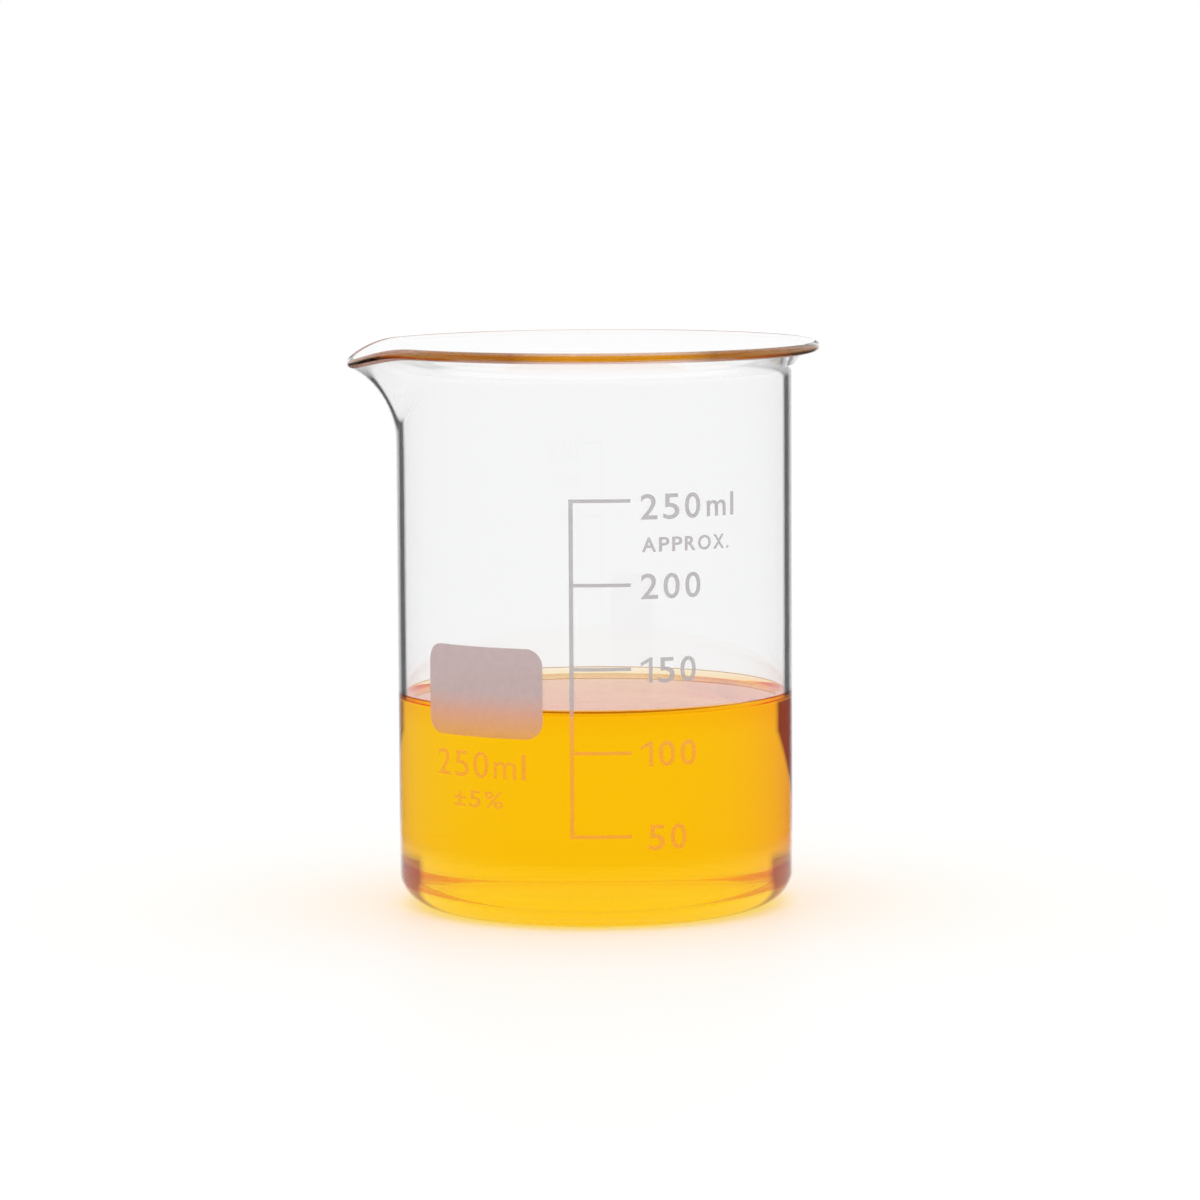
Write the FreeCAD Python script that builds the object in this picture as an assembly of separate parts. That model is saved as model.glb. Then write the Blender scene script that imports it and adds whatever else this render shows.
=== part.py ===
import FreeCAD, Part
import math
import os

from FreeCAD import Vector

# A low form beaker blown in one piece from borosilicate glass, with a rolled rim and a pouring
# spout, a measured charge of coloured liquid, and marks fired on in pale enamel.
# Millimetres, +Z up. The origin is the centre of the flat foot and the spout points to -X.
# Azimuths are in degrees about +Z from +X, so the spout is at 180 and the scale near 260.

# Drawn glass body
OUTSIDE_DIAMETER = 70.0
HEIGHT = 98.8
WALL = 1.65
FLOOR = 1.8
OUTSIDE_HEEL = 6.0
INSIDE_HEEL = 4.5

# Flared rim, its outer edge rolled thicker in the flame
RIM_DIAMETER = 80.0
RIM_BEAD = 1.9
FLARE_DEPTH = 5.7
LIP_ANGLE = 65.0
NECK_PULL = 0.43
LIP_PULL = 0.66

# Pouring spout, pressed outwards and downwards from the hot rim
SPOUT_AZIMUTH = 180.0
SPOUT_OVERHANG = 3.4
SPOUT_DROP = 2.6
SPOUT_DEPTH = 17.0
SPOUT_REACH_SPREAD = 38.0
SPOUT_DROP_SPREAD = 32.0
SPOUT_DEPTH_SPREAD = 36.0
SPOUT_SECTION_STEP = 5.0
COLLAR_MARGIN = 1.5
PROFILE_STATIONS = 7

# Liquid, wetting the glass in a low meniscus
LIQUID_VOLUME = 121000.0
MENISCUS_RISE = 1.0
CONTACT_ANGLE = 30.0

# Enamel graduation: one upright line with a tick at each 50 ml
SCALE_AZIMUTH = 258.4
SCALE_STEP = 50000.0
SCALE_TICKS = 5
SCALE_LINE_WIDTH = 0.73
TICK_LENGTH = 10.5
TICK_THICKNESS = 0.6

# Enamel marking field for pencil notes
FIELD_AZIMUTH = 230.6
FIELD_WIDTH = 23.9
FIELD_HEIGHT = 15.5
FIELD_MIDDLE = 40.6
FIELD_CORNER = 3.0
ENAMEL = 0.08

# Tolerance of the joins between the spun and the formed glass
JOIN_TOLERANCE = 0.0002

OUTSIDE = OUTSIDE_DIAMETER / 2
INSIDE = OUTSIDE - WALL
WALL_MIDDLE = OUTSIDE - WALL / 2
BEAD_RADIUS = RIM_DIAMETER / 2 - RIM_BEAD / 2
BEAD_HEIGHT = HEIGHT - RIM_BEAD / 2
COLLAR_BASE = HEIGHT - max(SPOUT_DEPTH, FLARE_DEPTH) - COLLAR_MARGIN
UP = Vector(0, 0, 1)
FULL_TURN = 360.0


def section_point(radius, height):
    return Vector(radius, 0, height)


def line(start, end):
    return Part.LineSegment(section_point(*start), section_point(*end)).toShape()


def section_arc(centre, radius, angle_from, angle_to):
    """Arc of a section, its angles in degrees up from the outward direction."""
    points = []
    for angle in (angle_from, (angle_from + angle_to) / 2, angle_to):
        turn = math.radians(angle)
        points.append(section_point(centre[0] + radius * math.cos(turn), centre[1] + radius * math.sin(turn)))
    return Part.Arc(*points).toShape()


def spun(edges, azimuth_from=0.0, sweep=FULL_TURN):
    """Turn a closed section about the beaker's axis."""
    face = Part.Face(Part.Wire(edges))
    face.rotate(Vector(), UP, azimuth_from)
    return face.revolve(Vector(), UP, sweep)


def swell(offset, spread):
    """Share of the spout's full form at an angle from its middle, fading smoothly to nothing."""
    if abs(offset) >= spread:
        return 0.0
    return math.cos(math.radians(90 * offset / spread)) ** 2


def flare_curve(neck, lip):
    """Middle line of the flare from upright neck to lip, as points with their unit normals."""
    angle = math.radians(LIP_ANGLE)
    neck_pull = NECK_PULL * (lip[1] - neck[1])
    lip_pull = LIP_PULL * (lip[0] - neck[0])
    poles = [
        section_point(*neck),
        section_point(neck[0], neck[1] + neck_pull),
        section_point(lip[0] - lip_pull * math.sin(angle), lip[1] - lip_pull * math.cos(angle)),
        section_point(*lip),
    ]
    curve = Part.BezierCurve()
    curve.setPoles(poles)
    stations = []
    for index in range(PROFILE_STATIONS + 1):
        share = index / PROFILE_STATIONS
        tangent = curve.tangent(share)[0]
        outward = Vector(tangent.z, 0, -tangent.x)
        half = (WALL + (RIM_BEAD - WALL) * share * share * (3 - 2 * share)) / 2
        stations.append((curve.value(share), outward * half))
    return stations


def collar_section(offset):
    """Closed section of the wall's top and the rim, at an angle from the spout's middle."""
    depth = FLARE_DEPTH + (SPOUT_DEPTH - FLARE_DEPTH) * swell(offset, SPOUT_DEPTH_SPREAD)
    reach = BEAD_RADIUS + SPOUT_OVERHANG * swell(offset, SPOUT_REACH_SPREAD)
    height = BEAD_HEIGHT - SPOUT_DROP * swell(offset, SPOUT_DROP_SPREAD)
    stations = flare_curve((WALL_MIDDLE, HEIGHT - depth), (reach, height))
    outer = [middle + outward for middle, outward in stations]
    inner = [middle - outward for middle, outward in reversed(stations)]
    last, outward = stations[-1]
    tip = last + Vector(-outward.z, 0, outward.x)
    outer_curve = Part.BSplineCurve()
    outer_curve.interpolate(outer)
    inner_curve = Part.BSplineCurve()
    inner_curve.interpolate(inner)
    outer_foot = section_point(OUTSIDE, COLLAR_BASE)
    inner_foot = section_point(INSIDE, COLLAR_BASE)
    return [
        Part.LineSegment(outer_foot, outer[0]).toShape(),
        outer_curve.toShape(),
        Part.Arc(outer[-1], tip, inner[0]).toShape(),
        inner_curve.toShape(),
        Part.LineSegment(inner[-1], inner_foot).toShape(),
        Part.LineSegment(inner_foot, outer_foot).toShape(),
    ]


def make_cup():
    """Foot, heel and straight wall up to the collar, spun in one section."""
    foot_edge = OUTSIDE - OUTSIDE_HEEL
    floor_edge = INSIDE - INSIDE_HEEL
    return spun([
        line((0, 0), (foot_edge, 0)),
        section_arc((foot_edge, OUTSIDE_HEEL), OUTSIDE_HEEL, -90, 0),
        line((OUTSIDE, OUTSIDE_HEEL), (OUTSIDE, COLLAR_BASE)),
        line((OUTSIDE, COLLAR_BASE), (INSIDE, COLLAR_BASE)),
        line((INSIDE, COLLAR_BASE), (INSIDE, FLOOR + INSIDE_HEEL)),
        section_arc((floor_edge, FLOOR + INSIDE_HEEL), INSIDE_HEEL, 0, -90),
        line((floor_edge, FLOOR), (0, FLOOR)),
        line((0, FLOOR), (0, 0)),
    ])


def make_round_rim(half_sector):
    """The rim all round but for the spout's sector."""
    return spun(collar_section(half_sector), SPOUT_AZIMUTH + half_sector, FULL_TURN - 2 * half_sector)


def make_spout(half_sector):
    """The spout's sector, lofted through sections that swell from the round rim and back."""
    count = 2 * math.ceil(half_sector / SPOUT_SECTION_STEP)
    sections = []
    for index in range(count + 1):
        offset = -half_sector + 2 * half_sector * index / count
        wire = Part.Wire(collar_section(offset))
        wire.rotate(Vector(), UP, SPOUT_AZIMUTH + offset)
        sections.append(wire)
    return Part.makeLoft(sections, True, False)


def make_beaker():
    half_sector = max(SPOUT_REACH_SPREAD, SPOUT_DROP_SPREAD, SPOUT_DEPTH_SPREAD)
    glass = make_cup().fuse([make_round_rim(half_sector), make_spout(half_sector)], JOIN_TOLERANCE)
    return glass.Solids[0]


def level_for(volume):
    """Height of a flat liquid surface in the bore for a volume in cubic millimetres."""
    corner = INSIDE - INSIDE_HEEL
    heel = INSIDE_HEEL
    heel_volume = math.pi * (corner ** 2 * heel + corner * math.pi * heel ** 2 / 2 + 2 * heel ** 3 / 3)
    return FLOOR + INSIDE_HEEL + (volume - heel_volume) / (math.pi * INSIDE ** 2)


def make_liquid():
    """The liquid fills the bore to its level and climbs the glass in a meniscus."""
    level = level_for(LIQUID_VOLUME)
    contact = math.radians(CONTACT_ANGLE)
    curl = MENISCUS_RISE / (1 - math.sin(contact))
    curl_centre = (INSIDE - curl * math.cos(contact), level + curl)
    floor_edge = INSIDE - INSIDE_HEEL
    return spun([
        line((0, FLOOR), (floor_edge, FLOOR)),
        section_arc((floor_edge, FLOOR + INSIDE_HEEL), INSIDE_HEEL, -90, 0),
        line((INSIDE, FLOOR + INSIDE_HEEL), (INSIDE, level + MENISCUS_RISE)),
        section_arc(curl_centre, curl, -CONTACT_ANGLE, -90),
        line((curl_centre[0], level), (0, level)),
        line((0, level), (0, FLOOR)),
    ])


def chord(arc):
    """Straight offset across the wall of a distance measured round it."""
    return OUTSIDE * math.sin(arc / OUTSIDE)


def plate(left, right, low, high, corner=0.0):
    """Upright flat plate through the wall, its sides given round the wall, its corners rounded."""
    reach = OUTSIDE + 2 * ENAMEL
    width = chord(right) - chord(left)
    solid = Part.makeBox(reach, width, high - low, Vector(0, chord(left), low))
    if corner > 0:
        solid = solid.makeFillet(corner, [edge for edge in solid.Edges if edge.Length > reach - ENAMEL])
    return solid


def fired_on(plates, azimuth):
    """The skin of enamel that the plates cut out of a thin coat on the wall."""
    coat = Part.makeCylinder(OUTSIDE + ENAMEL, HEIGHT).cut(Part.makeCylinder(OUTSIDE, HEIGHT))
    stencil = plates[0]
    if len(plates) > 1:
        stencil = stencil.fuse(plates[1:]).removeSplitter()
    stencil.rotate(Vector(), UP, azimuth)
    return coat.common(stencil).removeSplitter()


def make_graduation_scale():
    """An upright line with a tick at the level of each step of volume."""
    levels = [level_for(SCALE_STEP * step) for step in range(1, SCALE_TICKS + 1)]
    half_line = SCALE_LINE_WIDTH / 2
    half_tick = TICK_THICKNESS / 2
    plates = [plate(-half_line, half_line, levels[0] - half_tick, levels[-1] + half_tick)]
    for level in levels:
        plates.append(plate(-half_line, TICK_LENGTH - half_line, level - half_tick, level + half_tick))
    return fired_on(plates, SCALE_AZIMUTH)


def make_marking_field():
    half_width = FIELD_WIDTH / 2
    half_height = FIELD_HEIGHT / 2
    low = FIELD_MIDDLE - half_height
    high = FIELD_MIDDLE + half_height
    return fired_on([plate(-half_width, half_width, low, high, FIELD_CORNER)], FIELD_AZIMUTH)


def main():
    os.makedirs("parts", exist_ok=True)
    nodes = {
        "beaker": make_beaker(),
        "liquid": make_liquid(),
        "graduation_scale": make_graduation_scale(),
        "marking_field": make_marking_field(),
    }
    for name, shape in nodes.items():
        shape.exportStep("parts/" + name + ".step")
        print(name, "volume", round(shape.Volume, 1), "solids", len(shape.Solids), "valid", shape.isValid())
    print("liquid level", round(level_for(LIQUID_VOLUME), 3))


main()
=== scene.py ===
import math

import bmesh
import bpy
from mathutils import Matrix, Vector


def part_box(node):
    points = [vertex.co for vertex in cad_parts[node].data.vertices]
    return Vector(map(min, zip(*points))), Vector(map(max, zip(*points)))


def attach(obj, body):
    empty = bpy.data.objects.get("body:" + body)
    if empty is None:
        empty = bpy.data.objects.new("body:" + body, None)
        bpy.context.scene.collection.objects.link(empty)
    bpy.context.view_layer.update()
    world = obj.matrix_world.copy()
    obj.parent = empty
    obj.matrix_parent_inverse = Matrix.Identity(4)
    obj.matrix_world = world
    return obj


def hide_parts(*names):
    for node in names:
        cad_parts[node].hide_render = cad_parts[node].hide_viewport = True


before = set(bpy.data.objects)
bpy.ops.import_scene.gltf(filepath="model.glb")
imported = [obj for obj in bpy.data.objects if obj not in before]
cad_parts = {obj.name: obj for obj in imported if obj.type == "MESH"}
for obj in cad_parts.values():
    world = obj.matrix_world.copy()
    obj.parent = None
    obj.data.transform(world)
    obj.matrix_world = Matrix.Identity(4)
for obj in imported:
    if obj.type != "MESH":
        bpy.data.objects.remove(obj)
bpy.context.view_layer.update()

# A low form beaker of clear glass, blown in one piece, with an orange liquid in it and marks fired
# on in pale enamel. Sizes are in millimetres and azimuths in degrees about +Z from +X, so the
# spout is at 180. Meshes are written in metres by MM.
MM = 0.001
FULL_TURN = 360.0

# Glass body, its outline read from the frame
RIM_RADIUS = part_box("beaker")[1].y / MM
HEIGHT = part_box("beaker")[1].z / MM
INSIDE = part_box("liquid")[1].x / MM
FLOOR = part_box("liquid")[0].z / MM
WALL = 1.65
OUTSIDE = INSIDE + WALL
OUTSIDE_HEEL = 6.0
INSIDE_HEEL = 4.5
RIM_BEAD = 1.9
FLARE_DEPTH = 5.7
LIP_ANGLE = 65.0
NECK_PULL = 0.43
LIP_PULL = 0.66
BEAD_RADIUS = RIM_RADIUS - RIM_BEAD / 2
BEAD_HEIGHT = HEIGHT - RIM_BEAD / 2

# Pouring spout
SPOUT_AZIMUTH = 180.0
SPOUT_OVERHANG = 3.4
SPOUT_DROP = 2.6
SPOUT_DEPTH = 17.0
SPOUT_REACH_SPREAD = 38.0
SPOUT_DROP_SPREAD = 32.0
SPOUT_DEPTH_SPREAD = 36.0

# Liquid: its skin lies a little way into the glass, so that light meets glass and then liquid
CONTACT_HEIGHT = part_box("liquid")[1].z / MM
MENISCUS_RISE = 1.0
CONTACT_ANGLE = 30.0
LEVEL = CONTACT_HEIGHT - MENISCUS_RISE
SOAK = 0.12

# Fineness of the turned meshes
AROUND = 360
HEEL_STEPS = 20
WALL_STEPS = 12
FLARE_STEPS = 22
BEAD_STEPS = 14
DISC_STEPS = 6
SHARP_ANGLE = 60.0

# Enamel marks: a thin coat, standing just clear of the wall
COAT_LOW = 0.02
COAT_HIGH = 0.07
FOLD_STEP = 1.0
SCALE_AZIMUTH = 258.4
SCALE_LINE_WIDTH = 0.73
TICK_LENGTH = 10.5
TICK_THICKNESS = 0.6
SCALE_STEP = 50000.0
SCALE_TICKS = 5
FIELD_AZIMUTH = 230.6
FIELD_WIDTH = 23.9
FIELD_CORNER = 3.0
CORNER_STEPS = 8

# Figures beside the ticks, each given with its distance round the wall from the upright line
FIGURES = [("50", 13.0), ("100", 11.8), ("150", 11.8), ("200", 11.9), ("250", 11.9)]
FIGURE_WIDTH = 2.96
FIGURE_GAP = 1.04
FIGURE_HEIGHT = 4.4
FIGURE_DROP = 0.3
TOP_FIGURE_DROP = 1.1
FIGURE_STROKE = 0.6

# Other words: text, start and width round the wall from the upright line, feet, height, stroke
UNIT_WORD = ("ml", 24.2, 5.8, 70.45, 4.0, 0.56)
ACCURACY_WORD = ("APPROX.", 12.1, 16.7, 64.8, 2.55, 0.43)
CAPACITY_WORD = ("250ml", -26.7, 18.6, 25.8, 4.55, 0.5)
TOLERANCE_WORD = ("±5%", -22.8, 10.4, 20.7, 2.9, 0.37)

# Letters: their widths against a figure's, how near points join, how finely curves are cut, and the
# height and stroke of the built-in letters
LETTER_WIDTHS = {
    "1": 0.7,
    "m": 1.35,
    "l": 0.24,
    ".": 0.3,
    "A": 1.7,
    "P": 1.28,
    "R": 1.38,
    "O": 1.75,
    "X": 1.6,
    "±": 1.1,
    "%": 1.5,
}
JOIN_DISTANCE = 0.0001
CURVE_STEPS = 4
TYPED_HEIGHT = 0.7
TYPED_STROKE = 0.078
FLAGGED_ONE = [(0.7, 0), (0.92, 0), (0.92, 1), (0.76, 1), (0.22, 0.8), (0.22, 0.66), (0.7, 0.82)]

# Camera, fitted to the photograph: it stands a little to the spout's side of -Y
CAMERA_AZIMUTH = 5.0
CAMERA_DISTANCE = 950.0
CAMERA_HEIGHT = 150.12
CAMERA_PITCH = 5.82
CAMERA_ROLL = 0.329
FRAME_PIXELS = 1200
FOCAL_PIXELS = 5441.2
AXIS_SHIFT_PIXELS = 5.16
SENSOR = 36.0

CLEAR = (1.0, 1.0, 1.0, 1.0)
BLACK = (0.0, 0.0, 0.0, 1.0)

# Glass: its index, how much the outer skin mirrors, the inner skin's tint and the drawn waves
GLASS_INDEX = 1.47
OUTER_MIRROR = (0.5, 0.5, 0.5, 1.0)
INNER_TINT = (0.96, 0.962, 0.965, 1.0)
WAVES_PER_METRE = (60.0, 60.0, 9.0)
WAVE_STRENGTH = 0.02
WAVE_DEPTH = 1.0

# Tints of the outer skin, which paint light and shade on clear glass. Pairs are where a tint
# starts and where it is full or over. Those named STARTS, ENDS and SLIVER are of facing, 0 where the
# skin is square to the eye and 1 where it is edge on, and the others are heights or radii. A LEAN or
# SIDE is what +X adds and -X takes away.
SLIVER = (0.76, 0.86)
# Painted amber light: the liquid's light, seen edge on through the clear glass beside it
PAINTED_AMBER_LIGHT = (1.0, 0.35, 0.0, 1.0)
AMBER_HEEL_HEIGHTS = (4.0, 8.0)
AMBER_LEVEL_HEIGHTS = (32.5, 37.7)
AMBER_AT_LEVEL = 0.3
AMBER_MIDDLE = 0.8
AMBER_LEAN = 0.385
# Painted brown shade along the glass's edges beside the liquid
PAINTED_BROWN_SHADE = (0.08, 0.0017, 0.0, 1.0)
BROWN_STARTS = (1.268, 1.318)
BROWN_HEIGHTS = (0.0, 32.0)
BROWN_CLIMB = 0.64
BROWN_LEAN = 0.07525
BROWN_MIDDLE = 0.935
BROWN_SIDE = 0.07
# Painted mauve shade at the heel's corner
PAINTED_HEEL_SHADE = (0.2, 0.06, 0.15, 1.0)
HEEL_STARTS = (0.75, 0.81)
HEEL_HEIGHTS = (1.0, 6.0)
HEEL_CLIMB = 0.25
HEEL_TOP = (9.5, 11.5)
# Painted dark shade: the dry wall's dark line, where the wall is seen along its thickness
PAINTED_DARK_LINE_SHADE = (0.016, 0.016, 0.018, 1.0)
DARK_LINE_STARTS = (0.655, 0.7)
DARK_LINE_ENDS = (0.76, 0.84)
DARK_LINE_TOP = (93.0, 97.0)

# Outer side of the rim's bead, where the liquid's light carried up the wall is painted: beyond a
# cylinder and above a cone, with another tone past +-X
BEAD_RADII = (37.9, 38.3)
BEAD_SLOPE = 0.76
BEAD_CONE = (126.8, 127.1)
BEAD_MIDDLE_PAINTED_LIGHT = (0.6, 0.32, 0.25, 1.0)
BEAD_SIDE_PAINTED_LIGHT = (0.2, 0.065, 0.04, 1.0)
BEAD_LIGHT_SIDE_SQUARES = (8.0 ** 2, 17.0 ** 2)

# Liquid: its index and dye, its tone with no glass before it, and the painted shade and light that
# tint its flat surface and its meniscus from above and from below, where light has crossed three skins
# already
LIQUID_INDEX = 1.33
DYE = (1.0, 0.926, 0.0, 1.0)
DYE_DENSITY = 120.0
BARE_LIQUID = (255, 178, 20)
# Painted shade on the flat surface and on the meniscus from below, painted pale yellow light on the
# meniscus from above
LEVEL_PAINTED_SHADE = (0.6, 0.16, 0.0, 1.0)
BAND_PAINTED_LIGHT = (1.0, 0.93, 0.65, 1.0)
MENISCUS_PAINTED_SHADE = (0.3, 0.06, 0.0, 1.0)
MENISCUS_FOOT = (0.02, 0.08)
SURFACE_SLACK = 0.02
CROSSINGS_FROM_BELOW = 3

# Enamel: its tones by height as eight bit sRGB values, its own pale tone above the level and painted
# orange light of the liquid below it, and its grain
MARK_TONES = [
    (30.0, (255, 150, 70)),
    (LEVEL, (245, 165, 120)),
    (CONTACT_HEIGHT + 1, (198, 193, 195)),
]
FIELD_TONES = [
    (33.0, (240, 175, 90)),
    (LEVEL, (232, 176, 150)),
    (CONTACT_HEIGHT + 3, (208, 186, 186)),
]
GRAINS_PER_METRE = 900.0
GRAIN_DETAIL = 2.0
GRAIN_SHADE = 0.12
GRAIN_STRENGTH = 0.2
GRAIN_DEPTH = 0.1

# Bench, a hair below the foot, and how far off it is painted dark in mirrored light
BENCH_REACH = 4000.0
BENCH_GAP = 0.05
BENCH_WHITE = (0.98, 0.98, 0.98, 1.0)
BENCH_PAINTED_DARK = (0.09, 0.09, 0.09, 1.0)
BENCH_PAINTED_DARK_FROM = (75.0, 110.0)
BENCH_LIFT = (0.05, 0.05, 0.05, 1.0)

# Bounces that light may take, of glass and mirror, straight through, and off the bench
LONG_PATH = 128
PLAIN_CROSSINGS = 24
DIFFUSE_BOUNCES = 12


class Value:
    """A number or colour that flows out of a shader node; arithmetic on numbers adds Math nodes."""

    def __init__(self, finish, socket):
        self.finish = finish
        self.socket = socket

    def maths(self, operation, *terms):
        sockets = dict(enumerate((self, *terms)))
        return self.finish.node("ShaderNodeMath", {"operation": operation}, sockets)

    def __add__(self, other):
        return self.maths("ADD", other)

    def __sub__(self, other):
        return self.maths("SUBTRACT", other)

    def __rsub__(self, other):
        return self.maths("MULTIPLY_ADD", -1.0, other)

    def __mul__(self, other):
        return self.maths("MULTIPLY", other)

    __radd__ = __add__
    __rmul__ = __mul__

    def over(self, low, high):
        """0 below low, 1 above high and an even rise between, in the number's own units."""
        limits = {"From Min": low, "From Max": high, "Value": self}
        return self.finish.node("ShaderNodeMapRange", {"clamp": True}, limits)


class Finish:
    """The shader tree of one material or of the world."""

    def __init__(self, owner):
        owner.use_nodes = True
        self.tree = owner.node_tree
        self.tree.nodes.clear()

    def node(self, kind, settings=None, sockets=None, output=0):
        """Add a node: its settings first, then the values or links of its sockets."""
        made = self.tree.nodes.new(kind)
        for name, setting in (settings or {}).items():
            if name == "stops":
                self.set_stops(made.color_ramp, setting)
            else:
                setattr(made, name, setting)
        for name, value in (sockets or {}).items():
            if isinstance(value, Value):
                self.tree.links.new(value.socket, made.inputs[name])
            else:
                made.inputs[name].default_value = value
        return Value(self, made.outputs[output]) if made.outputs else made

    @staticmethod
    def set_stops(ramp, stops):
        while len(ramp.elements) < len(stops):
            ramp.elements.new(1.0)
        for element, (position, tone) in zip(ramp.elements, stops):
            element.position = position
            element.color = tone

    def blend(self, share, first, second):
        """A colour between two others."""
        sockets = {0: share, 6: first, 7: second}
        return self.node("ShaderNodeMix", {"data_type": "RGBA"}, sockets, 2)

    def place(self):
        """Where a point lies, as a vector in metres and as X, Y and Z in millimetres."""
        at = self.node("ShaderNodeTexCoord", output="Object")
        split = self.node("ShaderNodeSeparateXYZ", sockets={0: at}).socket.node
        return at, [Value(self, split.outputs[axis]) * (1 / MM) for axis in range(3)]

    def ray(self, fact):
        """What the light path says of the ray that is being followed."""
        return self.node("ShaderNodeLightPath", output=fact)

    def bounced(self, kind, times):
        """1 once the light path has had so many bounces of a kind, and 0 before."""
        return self.ray(kind + " Depth").maths("GREATER_THAN", times - 0.5)

    def edge_on(self):
        """0 where a surface is seen square on, rising to 1 where it is seen edge on."""
        return self.node("ShaderNodeLayerWeight", sockets={"Blend": 0.5}, output="Facing")

    def skin(self, **sockets):
        """A Principled shader; the keywords are its sockets' names with underscores for spaces."""
        named = {name.replace("_", " "): value for name, value in sockets.items()}
        return self.node("ShaderNodeBsdfPrincipled", sockets=named)


def colour(red, green, blue):
    """A colour as an eight bit sRGB value, for a shader."""
    shares = [level / 255 for level in (red, green, blue)]
    linear = [s / 12.92 if s <= 0.04045 else ((s + 0.055) / 1.055) ** 2.4 for s in shares]
    return (*linear, 1.0)


def spaced(start, end, steps):
    return [start + (end - start) * step / steps for step in range(steps + 1)]


def arc(centre, radius, angle_from, angle_to, steps):
    """Points of a section's arc, its angles in degrees up from the outward direction."""
    points = []
    for angle in spaced(angle_from, angle_to, steps):
        turn = math.radians(angle)
        points.append((centre[0] + radius * math.cos(turn), centre[1] + radius * math.sin(turn)))
    return points


def swell(offset, spread):
    """Share of the spout's full form at an angle from its middle, fading smoothly to nothing."""
    if abs(offset) >= spread:
        return 0.0
    return math.cos(math.radians(90 * offset / spread)) ** 2


def flare(neck, lip):
    """Outer side, rolled bead and inner side of the flare, from upright neck to lip and back."""
    angle = math.radians(LIP_ANGLE)
    along = Vector((math.sin(angle), math.cos(angle)))
    neck = Vector(neck)
    lip = Vector(lip)
    pull_up = neck + Vector((0, NECK_PULL * (lip.y - neck.y)))
    pull_back = lip - along * LIP_PULL * (lip.x - neck.x)
    outer = []
    inner = []
    for share in spaced(0.0, 1.0, FLARE_STEPS):
        rest = 1 - share
        middle = rest ** 3 * neck + 3 * rest * rest * share * pull_up
        middle += 3 * rest * share * share * pull_back + share ** 3 * lip
        tangent = rest * rest * (pull_up - neck) + 2 * rest * share * (pull_back - pull_up)
        tangent = (tangent + share * share * (lip - pull_back)).normalized()
        half = (WALL + (RIM_BEAD - WALL) * share * share * (3 - 2 * share)) / 2
        outward = Vector((tangent.y, -tangent.x)) * half
        outer.append(tuple(middle + outward))
        inner.append(tuple(middle - outward))
    bead = arc(lip, RIM_BEAD / 2, -LIP_ANGLE, 180 - LIP_ANGLE, BEAD_STEPS)
    return outer, bead, inner


def glass_section(azimuth):
    """The beaker's section at an azimuth: its outer side, its dry inner side, its wetted inside."""
    offset = (azimuth - SPOUT_AZIMUTH + 180) % FULL_TURN - 180
    depth = FLARE_DEPTH + (SPOUT_DEPTH - FLARE_DEPTH) * swell(offset, SPOUT_DEPTH_SPREAD)
    reach = BEAD_RADIUS + SPOUT_OVERHANG * swell(offset, SPOUT_REACH_SPREAD)
    lip_height = BEAD_HEIGHT - SPOUT_DROP * swell(offset, SPOUT_DROP_SPREAD)
    neck = HEIGHT - depth
    outer_flare, bead, inner_flare = flare(((OUTSIDE + INSIDE) / 2, neck), (reach, lip_height))
    foot_edge = OUTSIDE - OUTSIDE_HEEL
    floor_edge = INSIDE - INSIDE_HEEL
    inside_heel = FLOOR + INSIDE_HEEL
    outer = [(radius, 0.0) for radius in spaced(0.0, foot_edge, DISC_STEPS)[:-1]]
    outer += arc((foot_edge, OUTSIDE_HEEL), OUTSIDE_HEEL, -90, 0, HEEL_STEPS)[:-1]
    outer += [(OUTSIDE, height) for height in spaced(OUTSIDE_HEEL, neck, WALL_STEPS)[:-1]]
    outer += outer_flare[:-1] + bead[:-1]
    inner = inner_flare[::-1][:-1]
    inner += [(INSIDE, height) for height in spaced(neck, CONTACT_HEIGHT, WALL_STEPS)[:-1]]
    wetted = [(INSIDE, height) for height in spaced(CONTACT_HEIGHT, inside_heel, WALL_STEPS)[:-1]]
    wetted += arc((floor_edge, inside_heel), INSIDE_HEEL, 0, -90, HEEL_STEPS)[:-1]
    wetted += [(radius, FLOOR) for radius in spaced(floor_edge, 0.0, DISC_STEPS)]
    return [outer, inner, wetted]


def liquid_section(azimuth):
    """The liquid's section, the same all round: its skin in the glass, its surface and meniscus."""
    heel = INSIDE_HEEL + SOAK
    floor_edge = INSIDE - INSIDE_HEEL
    contact = math.radians(CONTACT_ANGLE)
    curl = MENISCUS_RISE / (1 - math.sin(contact))
    curl_centre = (INSIDE - curl * math.cos(contact), LEVEL + curl)
    top_angle = -math.degrees(math.acos((INSIDE + SOAK - curl_centre[0]) / curl))
    meniscus = arc(curl_centre, curl, top_angle, -90, HEEL_STEPS)
    soaked = [(radius, FLOOR - SOAK) for radius in spaced(0.0, floor_edge, DISC_STEPS)[:-1]]
    soaked += arc((floor_edge, FLOOR + INSIDE_HEEL), heel, -90, 0, HEEL_STEPS)[:-1]
    heights = spaced(FLOOR + INSIDE_HEEL, meniscus[0][1], WALL_STEPS)[:-1]
    soaked += [(INSIDE + SOAK, height) for height in heights]
    surface = meniscus[:-1] + [(radius, LEVEL) for radius in spaced(curl_centre[0], 0.0, DISC_STEPS)]
    return [soaked + surface]


def shown(name, mesh):
    piece = bpy.data.objects.new(name, mesh)
    bpy.context.scene.collection.objects.link(piece)
    return piece


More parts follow.
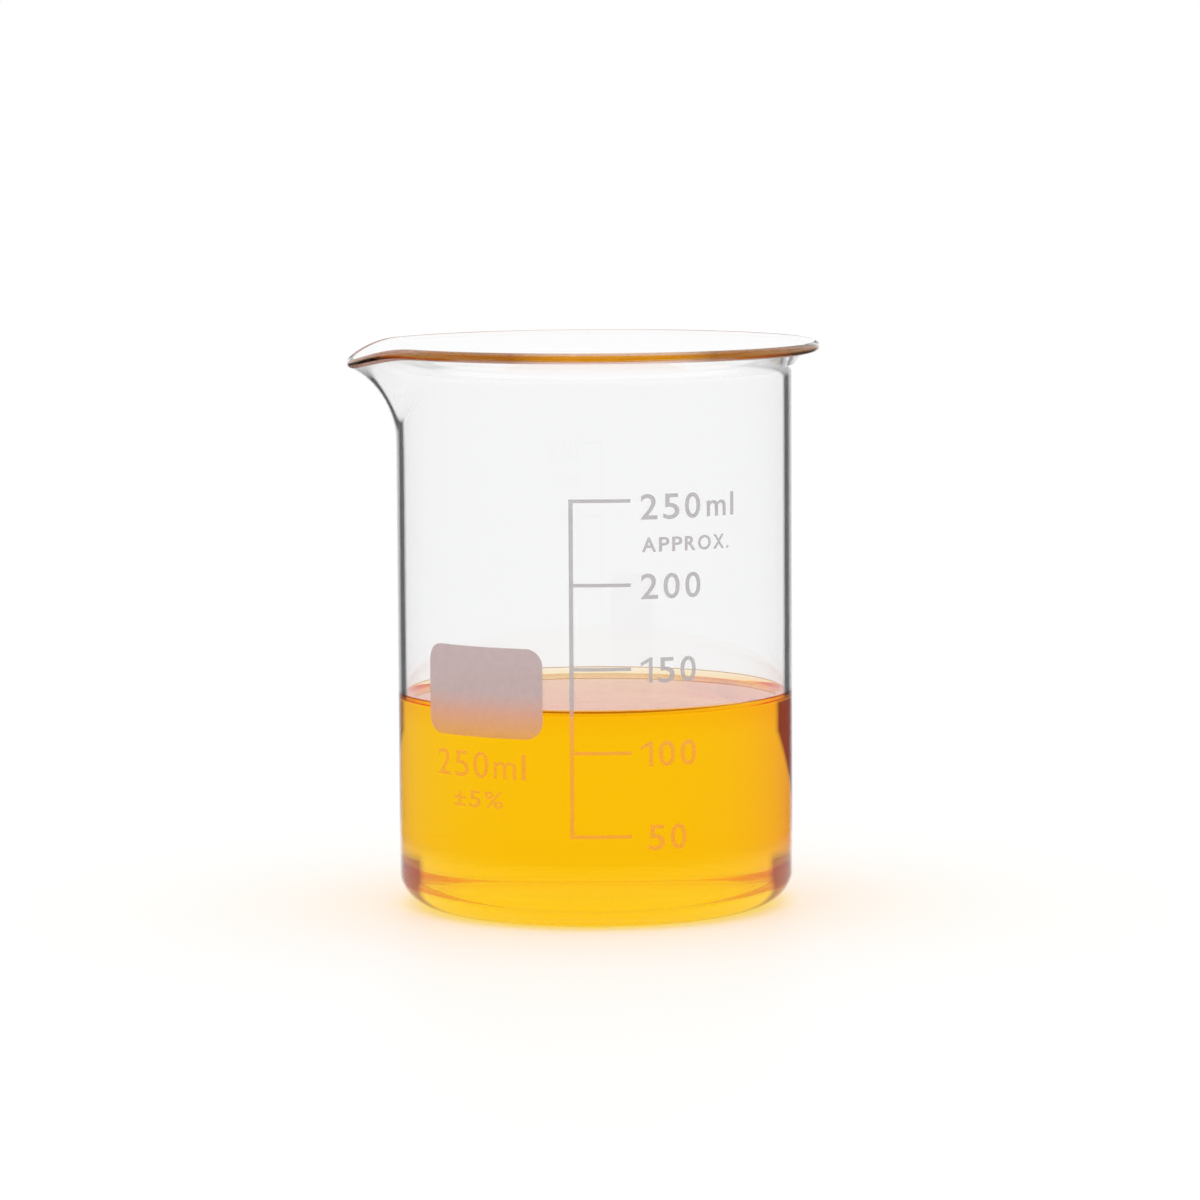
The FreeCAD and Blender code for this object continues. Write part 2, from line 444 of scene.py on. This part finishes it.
def turned(name, section_at):
    """A closed smooth body from its section at each azimuth.

    A section starts and ends on the axis, in stretches that take one finish after another.
    """
    stretches = [section_at(FULL_TURN * step / AROUND) for step in range(AROUND)]
    finishes = [number for number, stretch in enumerate(stretches[0]) for _ in stretch]
    sections = [sum(section, []) for section in stretches]
    points = [(0.0, 0.0, sections[0][0][1])]
    for step, section in enumerate(sections):
        turn = math.radians(FULL_TURN * step / AROUND)
        for radius, height in section[1:-1]:
            points.append((radius * math.cos(turn), radius * math.sin(turn), height))
    points.append((0.0, 0.0, sections[0][-1][1]))
    size = len(sections[0]) - 2
    top = len(points) - 1
    faces = []
    face_finishes = []
    for step in range(AROUND):
        here = 1 + step * size
        there = 1 + (step + 1) % AROUND * size
        faces.append((0, there, here))
        faces.append((top, here + size - 1, there + size - 1))
        face_finishes += [finishes[0], finishes[-1]]
        for rung in range(size - 1):
            faces.append((here + rung, there + rung, there + rung + 1, here + rung + 1))
            face_finishes.append(finishes[rung + 1])
    mesh = bpy.data.meshes.new(name)
    mesh.from_pydata([Vector(point) * MM for point in points], [], faces)
    mesh.polygons.foreach_set("material_index", face_finishes)
    mesh.shade_smooth()
    mesh.set_sharp_from_angle(angle=math.radians(SHARP_ANGLE))
    return shown(name, mesh)


def fired_on(name, sheet, azimuth):
    """Fold a flat closed sheet, drawn in millimetres with X round the wall and Y up, on the glass."""
    body = bmesh.new()
    body.from_mesh(sheet)
    ends = [point.co.x for point in body.verts]
    for fold in range(math.ceil(min(ends) / FOLD_STEP), math.ceil(max(ends) / FOLD_STEP)):
        geometry = body.verts[:] + body.edges[:] + body.faces[:]
        cut = Vector((fold * FOLD_STEP, 0, 0))
        bmesh.ops.bisect_plane(body, geom=geometry, plane_co=cut, plane_no=Vector((1, 0, 0)))
    for point in body.verts:
        turn = math.radians(azimuth) + point.co.x / OUTSIDE
        radius = OUTSIDE + point.co.z
        point.co = Vector((radius * math.cos(turn), radius * math.sin(turn), point.co.y)) * MM
    bmesh.ops.recalc_face_normals(body, faces=body.faces[:])
    mesh = bpy.data.meshes.new(name)
    body.to_mesh(mesh)
    body.free()
    return shown(name, mesh)


def coat(outline):
    """A closed flat sheet of enamel from its outline."""
    body = bmesh.new()
    face = body.faces.new([body.verts.new((x, y, COAT_LOW)) for x, y in outline])
    top = bmesh.ops.extrude_face_region(body, geom=[face])["geom"]
    raised = [point for point in top if isinstance(point, bmesh.types.BMVert)]
    bmesh.ops.translate(body, vec=Vector((0, 0, COAT_HIGH - COAT_LOW)), verts=raised)
    sheet = bpy.data.meshes.new("sheet")
    body.to_mesh(sheet)
    body.free()
    return sheet


def level_for(volume):
    """Height of a flat liquid surface in the bore for a volume in cubic millimetres."""
    corner = INSIDE - INSIDE_HEEL
    heel = INSIDE_HEEL
    heel_volume = math.pi * (corner ** 2 * heel + corner * math.pi * heel ** 2 / 2 + 2 * heel ** 3 / 3)
    return FLOOR + INSIDE_HEEL + (volume - heel_volume) / (math.pi * INSIDE ** 2)


def tick_levels():
    return [level_for(SCALE_STEP * step) for step in range(1, SCALE_TICKS + 1)]


def make_scale():
    """The upright line with its ticks, as one comb."""
    left = -SCALE_LINE_WIDTH / 2
    right = SCALE_LINE_WIDTH / 2
    tick_end = TICK_LENGTH + left
    levels = tick_levels()
    outline = []
    for level in levels:
        low = level - TICK_THICKNESS / 2
        high = level + TICK_THICKNESS / 2
        outline += [(right, low), (tick_end, low), (tick_end, high), (right, high)]
    outline[0] = (left, levels[0] - TICK_THICKNESS / 2)
    outline[-1] = (left, levels[-1] + TICK_THICKNESS / 2)
    return fired_on("enamel_scale", coat(outline), SCALE_AZIMUTH)


def make_field():
    """The patch for pencil notes, a rectangle with rounded corners."""
    low, high = (corner.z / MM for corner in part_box("marking_field"))
    side = FIELD_WIDTH / 2 - FIELD_CORNER
    outline = []
    centres = [(side, high), (-side, high), (-side, low), (side, low)]
    for quarter, (x, y) in enumerate(centres):
        y += FIELD_CORNER if y == low else -FIELD_CORNER
        outline += arc((x, y), FIELD_CORNER, 90 * quarter, 90 * quarter + 90, CORNER_STEPS)
    return fired_on("enamel_field", coat(outline), FIELD_AZIMUTH)


def letter(character, boldness):
    """A flat closed sheet of one letter or figure."""
    if character == "1":
        return coat([(x, y * TYPED_HEIGHT) for x, y in FLAGGED_ONE])
    letters = bpy.data.curves.new("letters", "FONT")
    letters.body = character
    letters.extrude = COAT_HIGH
    letters.offset = boldness
    letters.resolution_u = CURVE_STEPS
    typed = bpy.data.objects.new("letters", letters)
    sheet = bpy.data.meshes.new_from_object(typed)
    bpy.data.objects.remove(typed)
    for point in sheet.vertices:
        point.co.z = COAT_HIGH if point.co.z > 0 else COAT_LOW
    return sheet


def span(sheet, axis):
    places = [point.co[axis] for point in sheet.vertices]
    return min(places), max(places)


def written(text, start, width, feet, height, stroke):
    """Sheets of a word's letters, each fitted into its place in the word."""
    boldness = (stroke * TYPED_HEIGHT / height - TYPED_STROKE) / 2
    sheets = [letter(character, boldness) for character in text]
    gap = FIGURE_GAP / FIGURE_WIDTH
    widths = [LETTER_WIDTHS.get(character, 1.0) for character in text]
    unit = width / (sum(widths) + gap * (len(text) - 1))
    low = min(span(sheet, 1)[0] for sheet in sheets)
    rise = height / (max(span(sheet, 1)[1] for sheet in sheets) - low)
    x = start
    for sheet, share in zip(sheets, widths):
        left, right = span(sheet, 0)
        for point in sheet.vertices:
            point.co.x = x + (point.co.x - left) / (right - left) * share * unit
            point.co.y = feet + (point.co.y - low) * rise
        x += (share + gap) * unit
    return sheets


def printed(name, words):
    """Words fired on the wall as one piece."""
    joined = bmesh.new()
    for word in words:
        for sheet in written(*word):
            joined.from_mesh(sheet)
    bmesh.ops.remove_doubles(joined, verts=joined.verts[:], dist=JOIN_DISTANCE)
    every = bpy.data.meshes.new("words")
    joined.to_mesh(every)
    joined.free()
    return fired_on(name, every, SCALE_AZIMUTH)


def make_figures():
    """The volume beside each tick, and the unit beside the highest."""
    words = [UNIT_WORD]
    for (text, start), level in zip(FIGURES, tick_levels()):
        drop = TOP_FIGURE_DROP if text == FIGURES[-1][0] else FIGURE_DROP
        width = len(text) * (FIGURE_WIDTH + FIGURE_GAP) - FIGURE_GAP
        if text.startswith("1"):
            width -= (1 - LETTER_WIDTHS["1"]) * FIGURE_WIDTH
        feet = level - drop - FIGURE_HEIGHT / 2
        words.append((text, start, width, feet, FIGURE_HEIGHT, FIGURE_STROKE))
    return printed("enamel_figures", words)


def from_axis(x, y):
    """Distance from the beaker's axis."""
    return (x * x + y * y).maths("SQRT")


def drawn_lines(finish):
    """The faint upright waves that drawing leaves in a glass wall."""
    at, _ = finish.place()
    stretched = finish.node("ShaderNodeMapping", sockets={"Vector": at, "Scale": WAVES_PER_METRE})
    noise = {"Vector": stretched, "Scale": 1.0, "Detail": 1.0}
    waves = finish.node("ShaderNodeTexNoise", sockets=noise)
    bump = {"Strength": WAVE_STRENGTH, "Distance": WAVE_DEPTH * MM, "Height": waves}
    return finish.node("ShaderNodeBump", sockets=bump)


def painted_amber_light_share(facing, side, height):
    """Share of painted amber light on the glass before the liquid: more edge on, to the right and
    close to the level.
    """
    turned_away = facing * height.over(*AMBER_HEEL_HEIGHTS)
    turned_away = turned_away * (side * AMBER_LEAN + AMBER_MIDDLE)
    return turned_away + height.over(*AMBER_LEVEL_HEIGHTS) * AMBER_AT_LEVEL


def painted_brown_edge_shade(facing, side, height):
    """Painted brown shade along the edge beside the liquid, wider to the right and towards the level.
    """
    reached = facing + side * BROWN_LEAN + height.over(*BROWN_HEIGHTS) * BROWN_CLIMB
    return reached.over(*BROWN_STARTS) * (side * BROWN_SIDE + BROWN_MIDDLE)


def painted_mauve_heel_shade(facing, height):
    """Painted mauve shade at the corner of the heel, where the thick glass is seen along its bend."""
    reached = facing + height.over(*HEEL_HEIGHTS) * HEEL_CLIMB
    return reached.over(*HEEL_STARTS) * (1 - height.over(*HEEL_TOP))


def painted_dark_line(facing, height):
    """A painted dark line of shade along the dry wall, short of its last sliver and of the flare."""
    line = facing.over(*DARK_LINE_STARTS) * (1 - facing.over(*DARK_LINE_ENDS))
    return line * (1 - height.over(*DARK_LINE_TOP))


def rim_bead(x, y, height):
    """The outer side of the rim's rolled bead, where the liquid's light is painted on."""
    radius = from_axis(x, y)
    return radius.over(*BEAD_RADII) * (height + radius * BEAD_SLOPE).over(*BEAD_CONE)


def outer_glass():
    """The outer skin: painted dark shade where the wall is seen along its thickness, painted amber
    light beside the liquid.

    Its last sliver lets the light straight through, as a thin edge does.
    """
    material = bpy.data.materials.new("outer_glass")
    finish = Finish(material)
    facing = finish.edge_on()
    _, (x, y, height) = finish.place()
    side = x * (1 / OUTSIDE)
    in_view = 1 - finish.bounced("Diffuse", 1)
    dry = height.over(LEVEL, CONTACT_HEIGHT) * in_view
    wet = (1 - height.over(LEVEL, CONTACT_HEIGHT)) * in_view
    # Painted amber light on the clear glass beside the liquid
    tone = finish.blend(painted_amber_light_share(facing, side, height) * wet, CLEAR, PAINTED_AMBER_LIGHT)
    # Painted brown shade at the edges beside the liquid
    tone = finish.blend(painted_brown_edge_shade(facing, side, height) * wet, tone, PAINTED_BROWN_SHADE)
    # Painted mauve shade at the heel
    tone = finish.blend(painted_mauve_heel_shade(facing, height) * in_view, tone, PAINTED_HEEL_SHADE)
    # Painted dark line of shade along the dry wall
    tone = finish.blend(painted_dark_line(facing, height) * dry, tone, PAINTED_DARK_LINE_SHADE)
    # Painted light of the liquid on the rim's clear bead, paler in the middle and darker past +-X
    near_bead = rim_bead(x, y, height) * (1 - finish.bounced("Transmission", 1))
    painted_bead_light = finish.blend((x * x).over(*BEAD_LIGHT_SIDE_SQUARES), BEAD_MIDDLE_PAINTED_LIGHT, BEAD_SIDE_PAINTED_LIGHT)
    skin = finish.skin(
        Base_Color=finish.blend(near_bead, tone, painted_bead_light),
        Roughness=0.0,
        IOR=GLASS_INDEX,
        Specular_Tint=OUTER_MIRROR,
        Transmission_Weight=1.0,
        Alpha=1 - facing.over(*SLIVER),
        Normal=drawn_lines(finish),
    )
    finish.node("ShaderNodeOutputMaterial", sockets={"Surface": skin})
    return material


def inner_glass():
    """The dry inner skin."""
    material = bpy.data.materials.new("inner_glass")
    finish = Finish(material)
    skin = finish.skin(
        Base_Color=INNER_TINT,
        Roughness=0.0,
        IOR=GLASS_INDEX,
        Transmission_Weight=1.0,
        Normal=drawn_lines(finish),
    )
    finish.node("ShaderNodeOutputMaterial", sockets={"Surface": skin})
    return material


def wetted_glass():
    """The inner skin under the liquid, where next to nothing is reflected."""
    material = bpy.data.materials.new("wetted_glass")
    finish = Finish(material)
    skin = finish.skin(
        Base_Color=CLEAR,
        Roughness=0.0,
        IOR=GLASS_INDEX,
        Specular_Tint=BLACK,
        Transmission_Weight=1.0,
    )
    finish.node("ShaderNodeOutputMaterial", sockets={"Surface": skin})
    return material


def orange_liquid():
    """Clear orange liquid that darkens with depth; its surface shines, its skin in the glass doesn't.

    Both are one material, so that light leaves the dye by either of them.
    """
    material = bpy.data.materials.new("orange_liquid")
    finish = Finish(material)
    _, (x, y, height) = finish.place()
    soaked = finish.skin(
        Base_Color=finish.blend(finish.bounced("Transmission", 1), colour(*BARE_LIQUID), CLEAR),
        Roughness=0.0,
        IOR=LIQUID_INDEX,
        Specular_Tint=BLACK,
        Transmission_Weight=1.0,
    )
    # Painted shade on the flat surface and on the meniscus seen from below, painted pale yellow light
    # on the meniscus seen from above
    risen = height.over(LEVEL + MENISCUS_FOOT[0], LEVEL + MENISCUS_FOOT[1])
    from_above_painted = finish.blend(risen, LEVEL_PAINTED_SHADE, BAND_PAINTED_LIGHT)
    from_below_painted = finish.blend(risen, CLEAR, MENISCUS_PAINTED_SHADE)
    from_below = finish.bounced("Transmission", CROSSINGS_FROM_BELOW)
    surface = finish.skin(
        Base_Color=finish.blend(from_below, from_above_painted, from_below_painted),
        Roughness=0.0,
        IOR=LIQUID_INDEX,
        Specular_Tint=CLEAR,
        Transmission_Weight=1.0,
    )
    in_glass = from_axis(x, y).over(INSIDE + SOAK / 3, INSIDE + SOAK * 2 / 3)
    open_top = height.over(LEVEL - SURFACE_SLACK, LEVEL - SURFACE_SLACK / 2) * (1 - in_glass)
    skin = finish.node("ShaderNodeMixShader", sockets={0: open_top, 1: soaked, 2: surface})
    dye = {"Color": DYE, "Density": DYE_DENSITY}
    depth = finish.node("ShaderNodeVolumeAbsorption", sockets=dye)
    finish.node("ShaderNodeOutputMaterial", sockets={"Surface": skin, "Volume": depth})
    return material


def enamel(name, tones, dry_cover, wet_cover, roughness):
    """Fired enamel, a little see-through, with the liquid's orange light painted into its tone below
    its level.
    """
    material = bpy.data.materials.new(name)
    finish = Finish(material)
    at, (_, _, height) = finish.place()
    lowest = tones[0][0]
    highest = tones[-1][0]
    stops = [((place - lowest) / (highest - lowest), colour(*tone)) for place, tone in tones]
    # Below the level the tone is painted light of the liquid; above it, the enamel's own pale tone
    tone = finish.node("ShaderNodeValToRGB", {"stops": stops}, {0: height.over(lowest, highest)})
    noise = {"Vector": at, "Scale": GRAINS_PER_METRE, "Detail": GRAIN_DETAIL}
    grain = finish.node("ShaderNodeTexNoise", sockets=noise)
    bump = {"Strength": GRAIN_STRENGTH, "Distance": GRAIN_DEPTH * MM, "Height": grain}
    rough_top = finish.node("ShaderNodeBump", sockets=bump)
    wet = 1 - height.over(LEVEL, CONTACT_HEIGHT)
    skin = finish.skin(
        Base_Color=finish.blend(grain * GRAIN_SHADE, tone, BLACK),
        Roughness=roughness,
        Alpha=dry_cover - wet * (dry_cover - wet_cover),
        Normal=rough_top,
    )
    finish.node("ShaderNodeOutputMaterial", sockets={"Surface": skin})
    return material


def finished(piece, materials, slot, *nodes):
    """Give a piece its finishes, its body, and the nodes that it stands for; slot is not used."""
    for material in materials:
        piece.data.materials.append(material)
    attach(piece, "root")
    if nodes:
        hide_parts(*nodes)


def make_floor():
    """A white bench top with a soft gloss, wide enough to run out of every view.

    Further off it is painted dark in the glass's mirrored light, a painted dark reflection standing in
    for a dark room beyond its bench.
    """
    reach = BENCH_REACH * MM
    mesh = bpy.data.meshes.new("bench")
    corners = [(-reach, -reach, 0.0), (reach, -reach, 0.0), (reach, reach, 0.0), (-reach, reach, 0.0)]
    mesh.from_pydata(corners, [], [(0, 1, 2, 3)])
    floor = shown("bench", mesh)
    floor.location.z = -BENCH_GAP * MM
    material = bpy.data.materials.new("white_bench")
    finish = Finish(material)
    _, (x, y, _) = finish.place()
    mirrored = finish.bounced("Glossy", 1) * (1 - finish.bounced("Transmission", 1))
    # Painted dark reflection: further off, the bench is dark only in light mirrored by the glass
    painted_dark_reflection = mirrored * from_axis(x, y).over(*BENCH_PAINTED_DARK_FROM)
    skin = finish.skin(
        Base_Color=finish.blend(painted_dark_reflection, BENCH_WHITE, BENCH_PAINTED_DARK),
        Roughness=0.5,
        IOR=1.4,
        Specular_IOR_Level=0.1,
        Emission_Color=finish.blend(finish.ray("Is Camera Ray"), BLACK, BENCH_LIFT),
        Emission_Strength=1.0,
    )
    finish.node("ShaderNodeOutputMaterial", sockets={"Surface": skin})
    mesh.materials.append(material)


def light_studio():
    """An even white room."""
    world = bpy.data.worlds.new("white_room")
    bpy.context.scene.world = world
    finish = Finish(world)
    room = finish.node("ShaderNodeBackground", sockets={"Color": CLEAR, "Strength": 1.0})
    finish.node("ShaderNodeOutputWorld", sockets={"Surface": room})


def set_camera():
    """Stand the camera where it was for the photograph."""
    camera = bpy.data.cameras.new("camera")
    camera.sensor_width = SENSOR
    camera.lens = FOCAL_PIXELS * SENSOR / FRAME_PIXELS
    camera.shift_x = AXIS_SHIFT_PIXELS / FRAME_PIXELS
    stand = bpy.data.objects.new("camera", camera)
    bpy.context.scene.collection.objects.link(stand)
    turn = math.radians(CAMERA_AZIMUTH)
    away = Vector((-math.sin(turn), -math.cos(turn), 0.0)) * CAMERA_DISTANCE
    spot = away + Vector((0.0, 0.0, CAMERA_HEIGHT))
    tilt = Matrix.Rotation(math.radians(90 - CAMERA_PITCH), 4, "X")
    roll = Matrix.Rotation(math.radians(-CAMERA_ROLL), 4, "Z")
    stand.matrix_world = Matrix.Translation(spot * MM) @ Matrix.Rotation(-turn, 4, "Z") @ tilt @ roll
    bpy.context.scene.camera = stand


def set_light_paths():
    """Light that runs down inside the wall meets many faces of glass before it is seen."""
    cycles = bpy.context.scene.cycles
    cycles.max_bounces = LONG_PATH
    cycles.transmission_bounces = LONG_PATH
    cycles.glossy_bounces = LONG_PATH
    cycles.transparent_max_bounces = PLAIN_CROSSINGS
    cycles.diffuse_bounces = DIFFUSE_BOUNCES
    cycles.blur_glossy = 0.0
    bpy.context.scene.view_settings.view_transform = "Standard"


glass_skins = [outer_glass(), inner_glass(), wetted_glass()]
marks = [enamel("marking_enamel", MARK_TONES, dry_cover=0.6, wet_cover=0.3, roughness=0.45)]
patch = [enamel("field_enamel", FIELD_TONES, dry_cover=0.78, wet_cover=0.78, roughness=0.7)]
finished(turned("glass_beaker", glass_section), glass_skins, "glass", "beaker")
finished(turned("orange_charge", liquid_section), [orange_liquid()], "liquid", "liquid")
finished(make_scale(), marks, "enamel", "graduation_scale")
finished(make_field(), patch, "enamel", "marking_field")
finished(make_figures(), marks, "enamel")
finished(printed("enamel_accuracy", [ACCURACY_WORD]), marks, "enamel")
finished(printed("enamel_capacity", [CAPACITY_WORD]), marks, "enamel")
finished(printed("enamel_tolerance", [TOLERANCE_WORD]), marks, "enamel")
make_floor()
light_studio()
set_camera()
set_light_paths()
